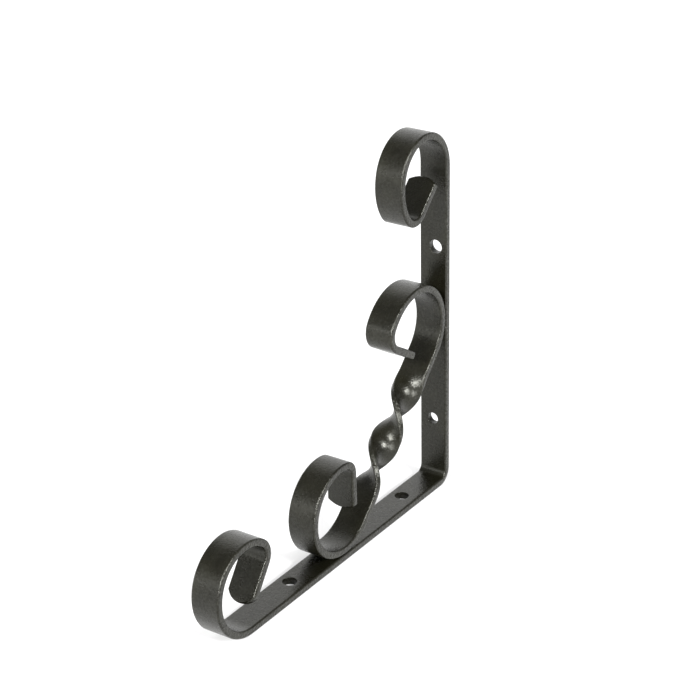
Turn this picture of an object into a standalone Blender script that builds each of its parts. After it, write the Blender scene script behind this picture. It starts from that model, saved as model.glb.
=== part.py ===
"""Decorative steel bracket: an angle strap with a scroll at each end, braced by a twisted C scroll.

Both pieces are flat bar bent in one upright plane, so each is a bar section carried along a path.
A path is worked out in plane coordinates (forward from the wall, up from the underside of the level
leg) and placed in the frame with X across the bar, +Y towards the wall and +Z up.
"""
import math

import bmesh
import bpy

# The bar, in metres
BAR_WIDTH = 0.016
BAR_THICKNESS = 0.004
EDGE_RADIUS = 0.0009
EDGE_FACETS = 2
TIP_SHOULDER = 0.0005
TIP_FACETS = 10

# The angle strap: both legs reach the same distance from the corner, scrolls included
LEG_REACH = 0.205
CORNER_OUTER_RADIUS = 0.0090
CORNER_INNER_RADIUS = 0.0035

# The twisted brace, in metres and degrees
WELD_GAP = 0.0003
DIAGONAL_LENGTH = 0.0959
DIAGONAL_LEAN = 45.0
TWIST_START = 0.0114
TWIST_END = 0.0842
TWIST_RAMP = 0.011
TWIST_TURN = -360.0

# Scrolls, from the straight bar outwards: (centre line radius, degrees) arcs, then the straight end as
# its length and the radius that its tip is rounded to
TOP_ARCS = ((0.0209, 162.0), (0.0267, 55.0), (0.0088, 98.0))
TOP_END = (0.0196, 0.0125)
FRONT_ARCS = ((0.0243, 115.0), (0.0215, 106.0), (0.0088, 84.0))
FRONT_END = (0.0220, 0.0090)
UPPER_ARCS = ((0.0239, 135.5), (0.0271, 57.0), (0.0088, 91.5))
UPPER_END = (0.0206, 0.0130)
LOWER_ARCS = ((0.0271, 70.0), (0.0234, 168.0), (0.0070, 76.0))
LOWER_END = (0.0210, 0.0130)

# Screw holes: (distance from the corner's outer faces, distance off the bar's middle line, diameter)
HOLE_SEGMENTS = 32
WALL_HOLES = ((0.0372, -0.0003, 0.0065), (0.1372, 0.0014, 0.0075))
SHELF_HOLES = ((0.0347, -0.0006, 0.0075), (0.1368, -0.0009, 0.0075))
CUTTER_OVERRUN = 0.002

# Facets along the bar, and across its wide faces where it twists
ARC_STEP = 6.0
TWIST_STEP = 6.0
STRAIGHT_STEP = 0.03
TWIST_COLUMNS = 4
SHARP_ANGLE = 30.0

BLACK = (0.024, 0.024, 0.022, 1.0)
PAINT_ROUGHNESS = 0.42


def clear_scene():
    """Takes every object out of the scene."""
    for item in list(bpy.data.objects):
        bpy.data.objects.remove(item, do_unlink=True)


def paint(name):
    """Satin black paint."""
    material = bpy.data.materials.new(name)
    material.use_nodes = True
    shader = material.node_tree.nodes["Principled BSDF"]
    shader.inputs["Base Color"].default_value = BLACK
    shader.inputs["Roughness"].default_value = PAINT_ROUGHNESS
    return material


def scroll_outwards(arcs, end):
    """Runs of a scroll from the straight bar to the last full section before its tip."""
    length, rounding = end
    return [("arc", radius, turn) for radius, turn in arcs] + [("line", length - tip_depth(rounding))]


def scroll_inwards(arcs, end):
    """Runs of a scroll from the last full section before its tip back to the straight bar."""
    return list(reversed(scroll_outwards(arcs, end)))


def walk(runs, heading):
    """Stations (forward, up, heading, distance) along a chain of straight and clockwise runs."""
    forward, up, distance = 0.0, 0.0, 0.0
    heading = math.radians(heading)
    stations = [(forward, up, heading, distance)]
    for run in runs:
        if run[0] == "line":
            steps = max(1, math.ceil(run[1] / STRAIGHT_STEP))
            for _ in range(steps):
                forward += run[1] / steps * math.cos(heading)
                up += run[1] / steps * math.sin(heading)
                distance += run[1] / steps
                stations.append((forward, up, heading, distance))
        elif run[0] == "arc":
            radius, turn = run[1], math.radians(run[2])
            steps = max(2, math.ceil(run[2] / ARC_STEP))
            for _ in range(steps):
                after = heading - turn / steps
                forward += radius * (math.sin(heading) - math.sin(after))
                up += radius * (math.cos(after) - math.cos(heading))
                distance += radius * turn / steps
                heading = after
                stations.append((forward, up, heading, distance))
        else:
            for length in run[1]:
                forward += length * math.cos(heading)
                up += length * math.sin(heading)
                distance += length
                stations.append((forward, up, heading, distance))
    return stations


def degrees_turned(runs):
    """Degrees turned clockwise along a chain of runs."""
    return sum(run[2] for run in runs if run[0] == "arc")


def length_of(runs):
    """Length along a chain of lines and arcs."""
    return sum(run[1] if run[0] == "line" else run[1] * math.radians(run[2]) for run in runs)


def shifted(stations, forward, up):
    """The same stations moved in the plane."""
    return [(f + forward, u + up, heading, distance) for f, u, heading, distance in stations]


def outer_limits(stations):
    """Least forward and least up reached by the bar's outer face, which lies left of travel."""
    half = BAR_THICKNESS / 2
    forward = min(f - half * math.sin(heading) for f, _, heading, _ in stations)
    up = min(u + half * math.cos(heading) for _, u, heading, _ in stations)
    return forward, up


def section():
    """Bar section as (across, through) points, rounded at the corners, counter-clockwise."""
    across = BAR_WIDTH / 2 - EDGE_RADIUS
    through = BAR_THICKNESS / 2 - EDGE_RADIUS
    points = []
    for quarter, (side, face) in enumerate(((1, 1), (-1, 1), (-1, -1), (1, -1))):
        for step in range(EDGE_FACETS + 1):
            angle = math.pi / 2 * (quarter + step / EDGE_FACETS)
            points.append((side * across + EDGE_RADIUS * math.cos(angle),
                           face * through + EDGE_RADIUS * math.sin(angle)))
    return points


def placed(station, across, through, along, twist):
    """A point given in a station's own directions, in the frame."""
    forward, up, heading, _ = station
    side = across * math.cos(twist) - through * math.sin(twist)
    out = across * math.sin(twist) + through * math.cos(twist)
    forward += along * math.cos(heading) - out * math.sin(heading)
    up += along * math.sin(heading) + out * math.cos(heading)
    return (side, LEG_REACH / 2 - forward, up)


def tip_depth(rounding):
    """How far a tip rounded to this radius stands out past the bar's last full section."""
    return TIP_SHOULDER + rounding - math.sqrt(rounding ** 2 - (BAR_WIDTH / 2) ** 2)


def tip_outline(across, rounding):
    """Rounded end of a bar of this half width as (across, along) points from the last full section."""
    inset = BAR_WIDTH / 2 - across
    radius = rounding - inset
    centre = tip_depth(rounding) - rounding
    widest = math.asin(across / radius)
    points = []
    for step in range(TIP_FACETS + 1):
        angle = widest * (1 - 2 * step / TIP_FACETS)
        points.append((radius * math.sin(angle), centre + radius * math.cos(angle)))
    return points


def add_tip(mesh, ring, station, twist, facing, rounding):
    """Closes a bar with an end rounded across its width; facing is 1 at the path's end, -1 at its start."""
    points = section()
    per_corner = EDGE_FACETS + 1
    # Section points pair up across the width, from the top face down to the bottom face
    right = list(range(per_corner - 1, -1, -1)) + list(range(4 * per_corner - 1, 3 * per_corner - 1, -1))
    left = list(range(per_corner, 3 * per_corner))
    rows = []
    for start, end in zip(right, left):
        across, through = points[start]
        row = [ring[start]]
        for offset, along in tip_outline(across, rounding):
            row.append(mesh.verts.new(placed(station, offset, through, facing * along, twist)))
        row.append(ring[end])
        rows.append(row)
    faces = [rows[0], list(reversed(rows[-1]))]
    for upper, lower in zip(rows, rows[1:]):
        for step in range(len(upper) - 1):
            faces.append([lower[step], lower[step + 1], upper[step + 1], upper[step]])
    for loop in faces:
        mesh.faces.new(loop if facing > 0 else list(reversed(loop)))


def thickness_share(turn):
    """Share of the bar's thickness left this far round the corner, whose inner face is bent tighter."""
    to_leg = CORNER_OUTER_RADIUS - BAR_THICKNESS
    offset = to_leg - CORNER_INNER_RADIUS
    shallow = min(turn, math.pi / 2 - turn)
    if shallow <= 0:
        return 1.0
    if to_leg * math.tan(shallow) < offset:
        reach = to_leg / math.cos(shallow)
    else:
        middle = offset * (math.cos(turn) + math.sin(turn))
        reach = middle + math.sqrt(middle ** 2 - 2 * offset ** 2 + CORNER_INNER_RADIUS ** 2)
    return (CORNER_OUTER_RADIUS - reach) / BAR_THICKNESS


def thinned_section(share):
    """The bar's section pressed to a share of its thickness, towards its outer face."""
    half = BAR_THICKNESS / 2
    return [(across, half - (half - through) * share) for across, through in section()]


def ring_chains(mesh, station, twist, share, columns):
    """One ring of the bar as a list of chains, one for each side of the section.

    The two wide sides are divided into columns, so a twisted face stays close to its true curve.
    """
    points = thinned_section(share)
    corners = [mesh.verts.new(placed(station, across, through, 0.0, twist)) for across, through in points]
    chains = []
    for index, (across, through) in enumerate(points):
        after = (index + 1) % len(points)
        chain = [corners[index]]
        if index in (EDGE_FACETS, 3 * EDGE_FACETS + 2):
            for column in range(1, columns):
                offset = across + (points[after][0] - across) * column / columns
                chain.append(mesh.verts.new(placed(station, offset, through, 0.0, twist)))
        chain.append(corners[after])
        chains.append(chain)
    return chains


def join_chains(mesh, chain, following):
    """Faces between two chains: quads where they match, otherwise one flat face."""
    if len(chain) != len(following):
        mesh.faces.new(chain + list(reversed(following)))
        return
    for index in range(len(chain) - 1):
        mesh.faces.new((chain[index], chain[index + 1], following[index + 1], following[index]))


def bar(name, stations, twists, shares, roundings):
    """A bar object carried along the stations, closed at each end by a tip of its own rounding."""
    mesh = bmesh.new()
    full_turn = twists[-1]
    rings = []
    for station, twist, share in zip(stations, twists, shares):
        columns = TWIST_COLUMNS if 0.0 < abs(twist) < abs(full_turn) else 1
        rings.append(ring_chains(mesh, station, twist, share, columns))
    for ring, following in zip(rings, rings[1:]):
        for chain, chain_after in zip(ring, following):
            join_chains(mesh, chain, chain_after)
    first = [chain[0] for chain in rings[0]]
    last = [chain[0] for chain in rings[-1]]
    add_tip(mesh, first, stations[0], twists[0], -1, roundings[0])
    add_tip(mesh, last, stations[-1], twists[-1], 1, roundings[1])
    bmesh.ops.recalc_face_normals(mesh, faces=mesh.faces[:])
    bmesh.ops.triangulate(mesh, faces=mesh.faces[:])
    data = bpy.data.meshes.new(name)
    mesh.to_mesh(data)
    mesh.free()
    data.polygons.foreach_set("use_smooth", [True] * len(data.polygons))
    data.set_sharp_from_angle(angle=math.radians(SHARP_ANGLE))
    item = bpy.data.objects.new(name, data)
    bpy.context.scene.collection.objects.link(item)
    item.data.materials.append(paint(name + "_paint"))
    return item


def hole_cutter(name, diameter, across, forward, up, axis):
    """A hidden cylinder through a leg; axis is the leg's through direction, "Y" or "Z"."""
    mesh = bmesh.new()
    bmesh.ops.create_cone(mesh, cap_ends=True, segments=HOLE_SEGMENTS, radius1=diameter / 2,
                          radius2=diameter / 2, depth=BAR_THICKNESS + 2 * CUTTER_OVERRUN)
    data = bpy.data.meshes.new(name)
    mesh.to_mesh(data)
    mesh.free()
    item = bpy.data.objects.new(name, data)
    bpy.context.scene.collection.objects.link(item)
    item.location = (across, LEG_REACH / 2 - forward, up)
    if axis == "Y":
        item.rotation_euler = (math.pi / 2, 0.0, 0.0)
    item.display_type = "WIRE"
    item.hide_render = True
    return item


def cut(target, cutter):
    """Cuts a hidden cutter out of a bar."""
    boolean = target.modifiers.new(cutter.name, "BOOLEAN")
    boolean.operation = "DIFFERENCE"
    boolean.solver = "EXACT"
    boolean.object = cutter


def build_angle_strap():
    """The L-shaped strap, walked from its front tip, round the corner and up to its top tip."""
    corner = CORNER_OUTER_RADIUS - BAR_THICKNESS / 2
    straight = LEG_REACH - BAR_THICKNESS / 2 - CORNER_OUTER_RADIUS
    front = scroll_inwards(FRONT_ARCS, FRONT_END)
    level = front + [("line", straight - FRONT_ARCS[0][0])]
    upright = [("line", straight - TOP_ARCS[0][0])] + scroll_outwards(TOP_ARCS, TOP_END)
    stations = walk(level + [("arc", corner, 90.0)] + upright, 180.0 + degrees_turned(front))
    bend_start = length_of(level)
    shares = [thickness_share((distance - bend_start) / corner) for _, _, _, distance in stations]
    forward, up = outer_limits(stations)
    stations = shifted(stations, -forward, -up)
    strap = bar("angle_strap", stations, [0.0] * len(stations), shares, (FRONT_END[1], TOP_END[1]))
    half = BAR_THICKNESS / 2
    for number, (distance, across, diameter) in enumerate(WALL_HOLES, 1):
        cut(strap, hole_cutter(f"wall_hole_cutter_{number}", diameter, across, half, distance, "Y"))
    for number, (distance, across, diameter) in enumerate(SHELF_HOLES, 1):
        cut(strap, hole_cutter(f"shelf_hole_cutter_{number}", diameter, across, distance, half, "Z"))
    return strap


def twist_at(distance):
    """Twist in radians at this distance along the diagonal, eased in and out over the ramp."""
    length = TWIST_END - TWIST_START
    gone = min(max(distance - TWIST_START, 0.0), length)
    if gone < TWIST_RAMP:
        share = gone ** 2 / (2 * TWIST_RAMP)
    elif gone > length - TWIST_RAMP:
        share = length - TWIST_RAMP - (length - gone) ** 2 / (2 * TWIST_RAMP)
    else:
        share = gone - TWIST_RAMP / 2
    return math.radians(TWIST_TURN) * share / (length - TWIST_RAMP)


def twist_lengths():
    """Station spacings along the diagonal, close together where the bar twists."""
    steps = math.ceil(abs(TWIST_TURN) / TWIST_STEP)
    step = (TWIST_END - TWIST_START) / steps
    return [TWIST_START] + [step] * steps + [DIAGONAL_LENGTH - TWIST_END]


def build_twisted_brace():
    """The C-shaped brace, walked from its lower tip up the twisted diagonal to its upper tip."""
    lower = scroll_inwards(LOWER_ARCS, LOWER_END)
    runs = lower + [("chain", twist_lengths())] + scroll_outwards(UPPER_ARCS, UPPER_END)
    stations = walk(runs, 90.0 + DIAGONAL_LEAN + degrees_turned(lower))
    forward, up = outer_limits(stations)
    stand_off = BAR_THICKNESS + WELD_GAP
    stations = shifted(stations, stand_off - forward, stand_off - up)
    start = length_of(lower)
    twists = [twist_at(distance - start) for _, _, _, distance in stations]
    return bar("twisted_brace", stations, twists, [1.0] * len(stations), (LOWER_END[1], UPPER_END[1]))


clear_scene()
build_angle_strap()
build_twisted_brace()
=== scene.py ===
"""Looks of the decorative steel bracket: its two bars built finely, satin black paint, and a studio.

Each bar is a rounded bar section carried along a path, as in the CAD source, whose sizes are repeated
here. A path is worked out in plane coordinates (forward from the wall, up from the underside of the
level leg) and placed with X across the bar, +Y towards the wall and +Z up. Lengths are in metres.
"""
import math

import bmesh
import bpy
import numpy as np
from mathutils import Matrix, Vector


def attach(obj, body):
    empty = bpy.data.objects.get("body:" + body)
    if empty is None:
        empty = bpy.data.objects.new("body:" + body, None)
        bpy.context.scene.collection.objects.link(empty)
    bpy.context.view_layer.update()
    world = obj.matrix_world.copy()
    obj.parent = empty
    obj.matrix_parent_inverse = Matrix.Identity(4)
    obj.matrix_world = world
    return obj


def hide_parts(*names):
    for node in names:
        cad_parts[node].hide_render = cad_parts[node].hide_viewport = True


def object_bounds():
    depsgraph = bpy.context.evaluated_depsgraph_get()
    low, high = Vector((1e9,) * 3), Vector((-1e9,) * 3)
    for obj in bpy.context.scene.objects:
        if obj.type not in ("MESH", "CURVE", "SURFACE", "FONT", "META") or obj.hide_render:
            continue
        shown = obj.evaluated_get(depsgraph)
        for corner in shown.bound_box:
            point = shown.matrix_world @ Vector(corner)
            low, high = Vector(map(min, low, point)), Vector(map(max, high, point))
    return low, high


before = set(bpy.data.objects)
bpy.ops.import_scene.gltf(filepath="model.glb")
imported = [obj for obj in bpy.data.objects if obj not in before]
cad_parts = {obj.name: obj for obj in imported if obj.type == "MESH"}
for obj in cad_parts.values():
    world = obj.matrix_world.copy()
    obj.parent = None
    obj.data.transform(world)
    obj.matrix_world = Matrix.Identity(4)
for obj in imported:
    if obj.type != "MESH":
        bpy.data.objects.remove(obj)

cad_low, cad_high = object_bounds()

# The bar
BAR_WIDTH = 0.016
BAR_THICKNESS = 0.004
EDGE_RADIUS = 0.0009
TIP_SHOULDER = 0.0005

# The angle strap: both legs reach the same distance from the corner, scrolls included
LEG_REACH = 0.205
CORNER_OUTER_RADIUS = 0.0090
CORNER_INNER_RADIUS = 0.0035

# The twisted brace, angles in degrees
WELD_GAP = 0.0003
DIAGONAL_LENGTH = 0.0959
DIAGONAL_LEAN = 45.0
TWIST_START = 0.0114
TWIST_END = 0.0842
TWIST_RAMP = 0.011
TWIST_TURN = -360.0

# Scrolls, from the straight bar outwards: (centre line radius, degrees) arcs, then the straight end as
# its length and the radius that its tip is rounded to
TOP_ARCS = ((0.0209, 162.0), (0.0267, 55.0), (0.0088, 98.0))
TOP_END = (0.0196, 0.0125)
FRONT_ARCS = ((0.0243, 115.0), (0.0215, 106.0), (0.0088, 84.0))
FRONT_END = (0.0220, 0.0090)
UPPER_ARCS = ((0.0239, 135.5), (0.0271, 57.0), (0.0088, 91.5))
UPPER_END = (0.0206, 0.0130)
LOWER_ARCS = ((0.0271, 70.0), (0.0234, 168.0), (0.0070, 76.0))
LOWER_END = (0.0210, 0.0130)

# Screw holes: (distance from the corner's outer faces, distance off the bar's middle line, diameter)
HOLE_RIM = 0.00012
WALL_HOLES = ((0.0372, -0.0003, 0.0065), (0.1372, 0.0014, 0.0075))
SHELF_HOLES = ((0.0347, -0.0006, 0.0075), (0.1368, -0.0009, 0.0075))

# Fineness of the meshes. The window is how far along the bar, each way from a screw hole, the wide faces
# are meshed around it
STATION_STEP = 0.0006
EDGE_FACETS = 6
FACE_COLUMNS = 16
SIDE_COLUMNS = 4
TIP_ROWS = 4
HOLE_ROWS = 4
RIM_FACETS = 4
BORE_ROWS = 3
HOLE_WINDOW = 0.006

# The paint: dark and light tones, and least and greatest roughness and gloss; the sheared narrow sides
# of the bar have a gloss of their own
PAINT_COLOURS = ((0.0026, 0.0024, 0.0011, 1.0), (0.0070, 0.0067, 0.0037, 1.0))
PAINT_ROUGHNESS = (0.24, 0.31)
PAINT_GLOSS = (0.32, 0.52)
SHEAR_GLOSS = (0.24, 0.60)
PAINT_SHINE_TINT = (1.0, 1.0, 0.92, 1.0)

# The noises that vary it, each as the size of its features and its detail, and the depths of the bumps.
# A spread is how much of a noise's range is used, about its middle
TONE_NOISE = (0.012, 6.0)
SHEEN_NOISE = (0.006, 4.0)
SHEAR_NOISE = (0.0012, 3.0)
WAVE_NOISE = (0.004, 1.0)
PEEL_NOISE = (0.00074, 2.0)
WAVE_DEPTH = 0.00002
PEEL_DEPTH = 0.00014
SHEAR_DEPTH = 0.0003
TONE_SPREAD = 0.4
SHEEN_SPREAD = 0.5
GLOSS_SPREAD = 0.4

# The camera, angles in degrees; CORNER_TO_AXIS is how far right of its axis and above it the foot of the
# wall face lies
PICTURE_SIDE = 700
CAMERA_AZIMUTH = 34.575
CAMERA_ELEVATION = 25.190
CAMERA_ROLL = -1.142
CAMERA_DISTANCE = 1.07253
CAMERA_FOCAL_PIXELS = 1956.7
CAMERA_SENSOR_MM = 36.0
CORNER_TO_AXIS = (0.04765, -0.06898)

# The studio, angles in degrees: azimuth 0 is towards -Y and 90 towards +X. A lamp is its azimuth,
# elevation, angle across and strength. The backdrop starts and is full at its angles from its middle
LAMPS = ((3.0, 31.5, 14.0, 4.4), (78.0, 31.5, 14.0, 4.4), (-32.0, 13.0, 20.0, 0.30), (46.0, 3.0, 12.0, 2.2))
BACKDROP_MIDDLE = (215.0, 8.0)
BACKDROP_ANGLES = (53.0, 34.0)
BACKDROP_GREY = 1.57
SURROUNDINGS_GREY = 0.36
FLOOR_SIDE = 40.0
FLOOR_COLOUR = (0.55, 0.55, 0.55, 1.0)
FLOOR_GLOW = 0.33
FLOOR_ROUGHNESS = 0.9
WHITE = (1.0, 1.0, 1.0, 1.0)


def arc(radius, degrees):
    """A clockwise run along a path, as (length, turn in radians)."""
    turn = math.radians(degrees)
    return (radius * turn, turn)


def line(length):
    """A straight run along a path."""
    return (length, 0.0)


def walk(runs, heading):
    """Stations (forward, up, heading, distance) along a chain of runs, as rows of an array."""
    rows = [np.array([[0.0, 0.0, math.radians(heading), 0.0]])]
    for length, turn in runs:
        forward, up, start, gone = rows[-1][-1]
        steps = math.ceil(length / STATION_STEP)
        share = np.arange(1, steps + 1) / steps
        half_turn = share * turn / 2
        chord = length * share * np.sinc(half_turn / math.pi)
        rows.append(np.column_stack((forward + chord * np.cos(start - half_turn),
                                     up + chord * np.sin(start - half_turn),
                                     start - 2 * half_turn,
                                     gone + length * share)))
    return np.vstack(rows)


def tip_depth(rounding):
    """How far a tip rounded to this radius stands out past the bar's last full section."""
    return TIP_SHOULDER + rounding - math.sqrt(rounding ** 2 - (BAR_WIDTH / 2) ** 2)


def scroll_outwards(arcs, end):
    """Runs of a scroll from the straight bar to the last full section before its tip."""
    length, rounding = end
    return [arc(radius, degrees) for radius, degrees in arcs] + [line(length - tip_depth(rounding))]


def scroll_inwards(arcs, end):
    """Runs of a scroll from the last full section before its tip back to the straight bar."""
    return list(reversed(scroll_outwards(arcs, end)))


def degrees_turned(runs):
    """Degrees turned clockwise along a chain of runs."""
    return math.degrees(sum(turn for _, turn in runs))


def length_of(runs):
    """Length along a chain of runs."""
    return sum(length for length, _ in runs)


def shifted_clear(stations, stand_off):
    """The stations moved until the bar's outer face, left of travel, clears both axes by the stand-off."""
    half = BAR_THICKNESS / 2
    moved = stations.copy()
    moved[:, 0] += stand_off - np.min(stations[:, 0] - half * np.sin(stations[:, 2]))
    moved[:, 1] += stand_off - np.min(stations[:, 1] + half * np.cos(stations[:, 2]))
    return moved


def strap_stations():
    """The L-shaped strap, walked from its front tip, round the corner and up to its top tip."""
    straight = LEG_REACH - BAR_THICKNESS / 2 - CORNER_OUTER_RADIUS
    corner = CORNER_OUTER_RADIUS - BAR_THICKNESS / 2
    front = scroll_inwards(FRONT_ARCS, FRONT_END)
    level = front + [line(straight - FRONT_ARCS[0][0])]
    upright = [line(straight - TOP_ARCS[0][0])] + scroll_outwards(TOP_ARCS, TOP_END)
    stations = walk(level + [arc(corner, 90.0)] + upright, 180.0 + degrees_turned(front))
    turns = (stations[:, 3] - length_of(level)) / corner
    return shifted_clear(stations, 0.0), thickness_shares(np.clip(turns, 0.0, math.pi / 2))


def thickness_shares(turns):
    """Shares of the bar's thickness left this far round the corner, whose inner face is bent tighter."""
    to_leg = CORNER_OUTER_RADIUS - BAR_THICKNESS
    offset = to_leg - CORNER_INNER_RADIUS
    shallow = np.minimum(turns, math.pi / 2 - turns)
    middle = offset * (np.cos(turns) + np.sin(turns))
    on_arc = middle + np.sqrt(middle ** 2 - 2 * offset ** 2 + CORNER_INNER_RADIUS ** 2)
    reach = np.where(to_leg * np.tan(shallow) < offset, to_leg / np.cos(shallow), on_arc)
    return (CORNER_OUTER_RADIUS - reach) / BAR_THICKNESS


def brace_stations():
    """The C-shaped brace, walked from its lower tip up the twisted diagonal to its upper tip."""
    lower = scroll_inwards(LOWER_ARCS, LOWER_END)
    runs = lower + [line(DIAGONAL_LENGTH)] + scroll_outwards(UPPER_ARCS, UPPER_END)
    stations = walk(runs, 90.0 + DIAGONAL_LEAN + degrees_turned(lower))
    return shifted_clear(stations, BAR_THICKNESS + WELD_GAP), length_of(lower)


def twist_at(distance):
    """Twist in radians at these distances along the diagonal, eased in and out over the ramp."""
    length = TWIST_END - TWIST_START
    gone = np.clip(distance - TWIST_START, 0.0, length)
    left = length - gone
    share = gone - TWIST_RAMP / 2
    share = np.where(gone < TWIST_RAMP, gone ** 2 / (2 * TWIST_RAMP), share)
    share = np.where(left < TWIST_RAMP, length - TWIST_RAMP - left ** 2 / (2 * TWIST_RAMP), share)
    return math.radians(TWIST_TURN) * share / (length - TWIST_RAMP)


def placed(stations, across, through, along=0.0, twist=0.0):
    """Points given in their stations' own directions, in the frame; all arguments broadcast."""
    forward, up, heading = (stations[..., part] for part in range(3))
    side = across * np.cos(twist) - through * np.sin(twist)
    out = across * np.sin(twist) + through * np.cos(twist)
    forward = forward + along * np.cos(heading) - out * np.sin(heading)
    up = up + along * np.sin(heading) + out * np.cos(heading)
    side, forward, up = np.broadcast_arrays(side, forward, up)
    return np.stack((side, LEG_REACH / 2 - forward, up), axis=-1)


def face_columns():
    """Across positions over a wide face from +X to -X, closer together near its edges."""
    return (BAR_WIDTH / 2 - EDGE_RADIUS) * np.cos(np.linspace(0.0, math.pi, FACE_COLUMNS + 1))


def bar_section():
    """The bar's section, counter-clockwise: across, through, and how far each point faces sideways."""
    half_across = BAR_WIDTH / 2 - EDGE_RADIUS
    half_through = BAR_THICKNESS / 2 - EDGE_RADIUS
    down = np.linspace(half_through, -half_through, SIDE_COLUMNS + 1)[1:-1]
    over = face_columns()[1:-1]
    parts = []
    for quarter, (side, face) in enumerate(((1, 1), (-1, 1), (-1, -1), (1, -1))):
        angle = math.pi / 2 * (quarter + np.linspace(0.0, 1.0, EDGE_FACETS + 1))
        parts.append(np.column_stack((side * half_across + EDGE_RADIUS * np.cos(angle),
                                      face * half_through + EDGE_RADIUS * np.sin(angle),
                                      np.abs(np.cos(angle)))))
        if side == face:
            flat = (face * over, np.full_like(over, face * BAR_THICKNESS / 2), np.zeros_like(over))
        else:
            flat = (np.full_like(down, side * BAR_WIDTH / 2), face * down, np.ones_like(down))
        parts.append(np.column_stack(flat))
    return np.vstack(parts)


SECTION = bar_section()
RING = len(SECTION)
OUTER_FACE = EDGE_FACETS + np.arange(FACE_COLUMNS + 1)
INNER_FACE = OUTER_FACE[::-1] + RING // 2
SIDE_CHAIN = np.arange(2 * EDGE_FACETS + SIDE_COLUMNS + 1)
RIGHT_SIDE = (EDGE_FACETS - SIDE_CHAIN) % RING
LEFT_SIDE = EDGE_FACETS + FACE_COLUMNS + SIDE_CHAIN


class Skin:
    """The points and faces of one bar, with how far each point faces sideways."""

    def __init__(self):
        self.points = np.empty((0, 3))
        self.sideways = np.empty(0)
        self.faces = []

    def add(self, points, sideways):
        """Adds a grid of points and returns their numbers in the same grid."""
        first = len(self.points)
        self.points = np.vstack((self.points, points.reshape(-1, 3)))
        self.sideways = np.append(self.sideways, np.broadcast_to(sideways, points.shape[:-1]).ravel())
        return np.arange(first, len(self.points)).reshape(points.shape[:-1])

    def join(self, rows):
        """Faces between the neighbouring rows of a grid of point numbers."""
        quads = np.stack((rows[:-1, :-1], rows[:-1, 1:], rows[1:, 1:], rows[1:, :-1]), axis=-1)
        self.faces.append(quads.reshape(-1, 4))

    def object(self, name):
        """The mesh object, without the points that no face uses, its faces turned outwards."""
        faces = np.vstack(self.faces)
        used, renumbered = np.unique(faces, return_inverse=True)
        data = bpy.data.meshes.new(name)
        data.from_pydata(self.points[used].tolist(), [], renumbered.reshape(-1, 4).tolist())
        mesh = bmesh.new()
        mesh.from_mesh(data)
        bmesh.ops.recalc_face_normals(mesh, faces=mesh.faces[:])
        mesh.to_mesh(data)
        mesh.free()
        data.shade_smooth()
        sideways = data.attributes.new("sideways", "FLOAT", "POINT")
        sideways.data.foreach_set("value", self.sideways[used].astype(np.float32))
        item = bpy.data.objects.new(name, data)
        bpy.context.scene.collection.objects.link(item)
        return item


def add_rings(skin, stations, twists, shares, windows):
    """The bar between its tips. A window is the first and last station of a stretch with no wide faces."""
    across, through, sideways = SECTION.T
    half = BAR_THICKNESS / 2
    thinned = half - (half - through) * shares[:, None]
    points = placed(stations[:, None, :], across, thinned, twist=twists[:, None])
    rings = skin.add(points, sideways)
    closed = np.column_stack((rings, rings[:, :1]))
    breaks = sorted({0, len(stations) - 1, *(station for window in windows for station in window)})
    for first, last in zip(breaks, breaks[1:]):
        if (first, last) in windows:
            skin.join(closed[first:last + 1][:, LEFT_SIDE])
            skin.join(closed[first:last + 1][:, RIGHT_SIDE])
        else:
            skin.join(closed[first:last + 1])
    return rings


def add_tip(skin, ring, station, facing, rounding):
    """Closes a bar with an end rounded across its width; facing is 1 at the path's end, -1 at its start."""
    columns = face_columns()
    inner_radius = rounding - EDGE_RADIUS
    share = np.arcsin(columns / inner_radius) / math.asin(columns[0] / inner_radius)
    across, through, sideways = (SECTION[RIGHT_SIDE, part][:, None] for part in range(3))
    radius = rounding - (BAR_WIDTH / 2 - across)
    angle = np.arcsin(across / radius) * share
    along = tip_depth(rounding) - rounding + radius * np.cos(angle)
    points = placed(station, radius * np.sin(angle), through, facing * along)
    wall = skin.add(points, sideways)
    skin.join(np.column_stack((ring[RIGHT_SIDE], wall, ring[LEFT_SIDE])))
    for face, edge in ((OUTER_FACE, wall[0]), (INNER_FACE, wall[-1])):
        inside = np.linspace(0.0, 1.0, TIP_ROWS + 1)[1:-1, None, None]
        near, far = skin.points[ring[face]], skin.points[edge]
        rows = skin.add(near + (far - near) * inside, 0.0)
        skin.join(np.vstack((ring[face], rows, edge)))


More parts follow.
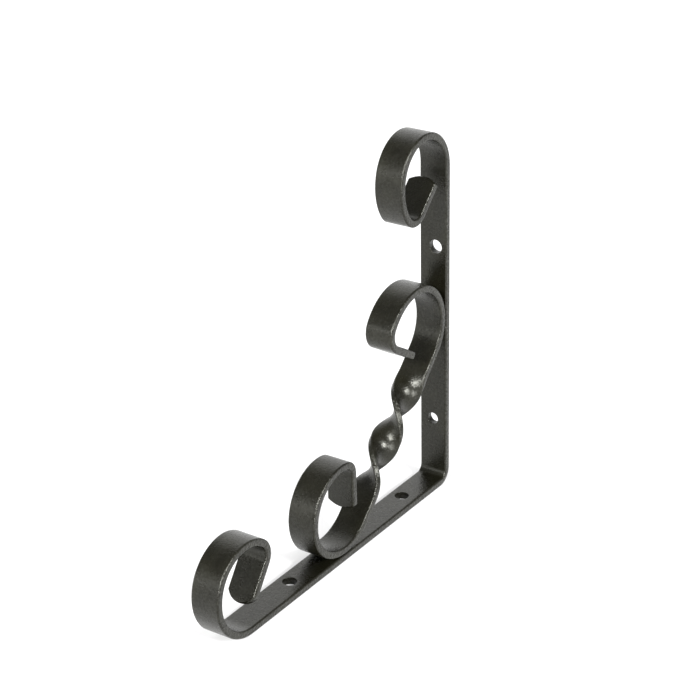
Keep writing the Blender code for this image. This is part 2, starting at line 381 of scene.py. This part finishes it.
def add_hole(skin, rings, stations, window, middle, offset, hole_radius):
    """Two wide faces with a screw hole of rounded rim through them, between the stations of the window."""
    first, last = window
    station = stations[middle]
    inwards = np.linspace(0.0, 1.0, HOLE_ROWS + 1)[1:-1, None, None]
    rounding = np.linspace(0.0, math.pi / 2, RIM_FACETS + 1)[:, None]
    rims = []
    for face, sign in ((OUTER_FACE, 1), (INNER_FACE, -1)):
        border = np.concatenate((rings[first, face][:-1], rings[first:last, face[-1]],
                                 rings[last, face][:0:-1], rings[last:first:-1, face[0]]))
        corner = np.concatenate((np.full(FACE_COLUMNS, first), np.arange(first, last),
                                 np.full(FACE_COLUMNS, last), np.arange(last, first, -1)))
        edge_along = stations[corner, 3] - station[3] - offset[0]
        edge_across = skin.points[border, 0] - offset[1]
        angle = np.arctan2(edge_across, edge_along)
        radius = hole_radius + HOLE_RIM * (1 - np.sin(rounding))
        depth = HOLE_RIM * (1 - np.cos(rounding))
        rim_points = placed(station, offset[1] + radius * np.sin(angle), sign * (BAR_THICKNESS / 2 - depth),
                            offset[0] + radius * np.cos(angle))
        rim = skin.add(rim_points, np.sin(rounding))
        near, far = skin.points[border], skin.points[rim[0]]
        rows = skin.add(near + (far - near) * inwards, 0.0)
        whole = np.vstack((border, rows, rim))
        skin.join(np.column_stack((whole, whole[:, :1])))
        rims.append(rim[-1])
    near, far = skin.points[rims[0]], skin.points[rims[1]]
    inside = np.linspace(0.0, 1.0, BORE_ROWS + 1)[1:-1, None, None]
    bore = skin.add(near + (far - near) * inside, 1.0)
    whole = np.vstack((rims[0], bore, rims[1]))
    skin.join(np.column_stack((whole, whole[:, :1])))


def hole_places(stations):
    """For each screw hole: its nearest station, how far along and across its middle lies, and its radius."""
    half = BAR_THICKNESS / 2
    holes = [((distance, half), across, diameter / 2) for distance, across, diameter in SHELF_HOLES]
    holes += [((half, distance), across, diameter / 2) for distance, across, diameter in WALL_HOLES]
    places = []
    for middle, across, radius in holes:
        away = np.hypot(*(np.array(middle)[:, None] - stations[:, :2].T))
        nearest = int(np.argmin(away))
        forward, up, heading, _ = stations[nearest]
        along = (middle[0] - forward) * math.cos(heading) + (middle[1] - up) * math.sin(heading)
        places.append((nearest, (along, across), radius))
    return places


def build_strap():
    """The angle strap, with its four screw holes."""
    stations, shares = strap_stations()
    reach = round(HOLE_WINDOW / STATION_STEP)
    holes = [((nearest - reach, nearest + reach), nearest, offset, radius)
             for nearest, offset, radius in hole_places(stations)]
    skin = Skin()
    rings = add_rings(skin, stations, np.zeros(len(stations)), shares, [hole[0] for hole in holes])
    for hole in holes:
        add_hole(skin, rings, stations, *hole)
    add_tip(skin, rings[0], stations[0], -1, FRONT_END[1])
    add_tip(skin, rings[-1], stations[-1], 1, TOP_END[1])
    return skin.object("angle_strap_bar")


def build_brace():
    """The twisted brace."""
    stations, start = brace_stations()
    skin = Skin()
    rings = add_rings(skin, stations, twist_at(stations[:, 3] - start), np.ones(len(stations)), [])
    add_tip(skin, rings[0], stations[0], -1, LOWER_END[1])
    add_tip(skin, rings[-1], stations[-1], 1, UPPER_END[1])
    return skin.object("twisted_brace_bar")


def kept_in_box(item):
    """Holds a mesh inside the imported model's box, which its finer curves would pass by a hair."""
    count = len(item.data.vertices)
    points = np.empty(count * 3, np.float32)
    item.data.vertices.foreach_get("co", points)
    points = np.clip(points.reshape(-1, 3), cad_low, cad_high)
    item.data.vertices.foreach_set("co", points.astype(np.float32).ravel())
    item.data.update()


def noise_texture(tree, place, size, detail):
    """A noise with features of about this size in metres."""
    texture = tree.nodes.new("ShaderNodeTexNoise")
    texture.inputs["Scale"].default_value = 1 / size
    texture.inputs["Detail"].default_value = detail
    tree.links.new(place, texture.inputs["Vector"])
    return texture.outputs["Fac"]


def mapped(tree, value, spread, low, high):
    """A noise's middle range, this wide about a half, carried to the range from low to high."""
    node = tree.nodes.new("ShaderNodeMapRange")
    node.inputs["From Min"].default_value = 0.5 - spread / 2
    node.inputs["From Max"].default_value = 0.5 + spread / 2
    node.inputs["To Min"].default_value = low
    node.inputs["To Max"].default_value = high
    tree.links.new(value, node.inputs["Value"])
    return node.outputs["Result"]


def bumped(tree, height, depth, before=None, strength=None):
    """A bump of this depth in metres; it may lie over an earlier one and vary in strength with a value."""
    bump = tree.nodes.new("ShaderNodeBump")
    bump.inputs["Distance"].default_value = depth
    for value, socket in ((height, "Height"), (before, "Normal"), (strength, "Strength")):
        if value:
            tree.links.new(value, bump.inputs[socket])
    return bump.outputs["Normal"]


def black_paint():
    """Satin black paint with a fine orange peel, coarser on the narrow sides, uneven in tone and sheen."""
    material = bpy.data.materials.new("satin_black_paint")
    material.use_nodes = True
    tree = material.node_tree
    shader = tree.nodes["Principled BSDF"]
    place = tree.nodes.new("ShaderNodeTexCoord").outputs["Object"]
    attribute = tree.nodes.new("ShaderNodeAttribute")
    attribute.attribute_name = "sideways"
    sideways = attribute.outputs["Fac"]
    tone = tree.nodes.new("ShaderNodeValToRGB")
    share = mapped(tree, noise_texture(tree, place, *TONE_NOISE), TONE_SPREAD, 0.0, 1.0)
    tree.links.new(share, tone.inputs["Fac"])
    for stop, colour in zip(tone.color_ramp.elements, PAINT_COLOURS):
        stop.color = colour
    tree.links.new(tone.outputs["Color"], shader.inputs["Base Color"])
    sheen = mapped(tree, noise_texture(tree, place, *SHEEN_NOISE), SHEEN_SPREAD, *PAINT_ROUGHNESS)
    tree.links.new(sheen, shader.inputs["Roughness"])
    mottle = noise_texture(tree, place, *SHEAR_NOISE)
    gloss = tree.nodes.new("ShaderNodeMix")
    tree.links.new(sideways, gloss.inputs["Factor"])
    tree.links.new(mapped(tree, mottle, GLOSS_SPREAD, *PAINT_GLOSS), gloss.inputs["A"])
    tree.links.new(mapped(tree, mottle, GLOSS_SPREAD, *SHEAR_GLOSS), gloss.inputs["B"])
    tree.links.new(gloss.outputs["Result"], shader.inputs["Specular IOR Level"])
    shader.inputs["Specular Tint"].default_value = PAINT_SHINE_TINT
    wave = bumped(tree, noise_texture(tree, place, *WAVE_NOISE), WAVE_DEPTH)
    peel = bumped(tree, noise_texture(tree, place, *PEEL_NOISE), PEEL_DEPTH, wave)
    sheared = bumped(tree, mottle, SHEAR_DEPTH, peel, sideways)
    tree.links.new(sheared, shader.inputs["Normal"])
    return material


def direction(azimuth, elevation):
    """Unit vector from the object; azimuth 0 is towards -Y and 90 towards +X, in degrees."""
    turn, rise = math.radians(azimuth), math.radians(elevation)
    return Vector((math.sin(turn) * math.cos(rise), -math.cos(turn) * math.cos(rise), math.sin(rise)))


def add_camera():
    """The camera, where the photograph was taken from."""
    azimuth, roll = math.radians(CAMERA_AZIMUTH), math.radians(CAMERA_ROLL)
    back = direction(CAMERA_AZIMUTH, CAMERA_ELEVATION)
    level_right = Vector((math.cos(azimuth), math.sin(azimuth), 0.0))
    level_up = back.cross(level_right)
    right = math.cos(roll) * level_right + math.sin(roll) * level_up
    up = math.cos(roll) * level_up - math.sin(roll) * level_right
    corner = Vector((0.0, LEG_REACH / 2, 0.0))
    data = bpy.data.cameras.new("camera")
    data.sensor_width = CAMERA_SENSOR_MM
    data.lens = CAMERA_FOCAL_PIXELS / PICTURE_SIDE * CAMERA_SENSOR_MM
    camera = bpy.data.objects.new("camera", data)
    bpy.context.scene.collection.objects.link(camera)
    camera.matrix_world = Matrix((right, up, back)).transposed().to_4x4()
    camera.location = corner + CAMERA_DISTANCE * back - CORNER_TO_AXIS[0] * right - CORNER_TO_AXIS[1] * up
    bpy.context.scene.camera = camera


def add_world():
    """Dim surroundings with a pale backdrop behind the object."""
    world = bpy.data.worlds.new("studio")
    world.use_nodes = True
    nodes, links = world.node_tree.nodes, world.node_tree.links
    outward = nodes.new("ShaderNodeTexCoord")
    towards = nodes.new("ShaderNodeVectorMath")
    towards.operation = "DOT_PRODUCT"
    towards.inputs[1].default_value = direction(*BACKDROP_MIDDLE)
    ramp = nodes.new("ShaderNodeValToRGB")
    links.new(outward.outputs["Generated"], towards.inputs[0])
    links.new(towards.outputs["Value"], ramp.inputs["Fac"])
    links.new(ramp.outputs["Color"], nodes["Background"].inputs["Color"])
    ramp.color_ramp.interpolation = "EASE"
    greys = (SURROUNDINGS_GREY, BACKDROP_GREY)
    for stop, angle, grey in zip(ramp.color_ramp.elements, BACKDROP_ANGLES, greys):
        stop.position = math.cos(math.radians(angle))
        stop.color = (grey, grey, grey, 1.0)
    bpy.context.scene.world = world


def add_floor():
    """A plain pale floor, glowing faintly like a light table."""
    data = bpy.data.meshes.new("floor")
    half = FLOOR_SIDE / 2
    corners = [(-half, -half, 0.0), (half, -half, 0.0), (half, half, 0.0), (-half, half, 0.0)]
    data.from_pydata(corners, [], [(0, 1, 2, 3)])
    floor = bpy.data.objects.new("floor", data)
    bpy.context.scene.collection.objects.link(floor)
    material = bpy.data.materials.new("floor")
    material.use_nodes = True
    shader = material.node_tree.nodes["Principled BSDF"]
    shader.inputs["Base Color"].default_value = FLOOR_COLOUR
    shader.inputs["Emission Color"].default_value = WHITE
    shader.inputs["Emission Strength"].default_value = FLOOR_GLOW
    shader.inputs["Roughness"].default_value = FLOOR_ROUGHNESS
    shader.inputs["Specular IOR Level"].default_value = 0.0
    data.materials.append(material)


def add_lamps():
    """Soft distant lamps: one on each side of the camera, and two lower ones."""
    for azimuth, elevation, angle, strength in LAMPS:
        data = bpy.data.lights.new("lamp", "SUN")
        data.angle = math.radians(angle)
        data.energy = strength
        lamp = bpy.data.objects.new("lamp", data)
        bpy.context.scene.collection.objects.link(lamp)
        lamp.rotation_euler = direction(azimuth, elevation).to_track_quat("Z", "Y").to_euler()


paint = black_paint()
for bar, node in ((build_strap(), "angle_strap"), (build_brace(), "twisted_brace")):
    kept_in_box(bar)
    bar.data.materials.append(paint)
    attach(bar, "root")
    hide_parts(node)
add_camera()
add_world()
add_floor()
add_lamps()
bpy.context.scene.view_settings.view_transform = "Standard"
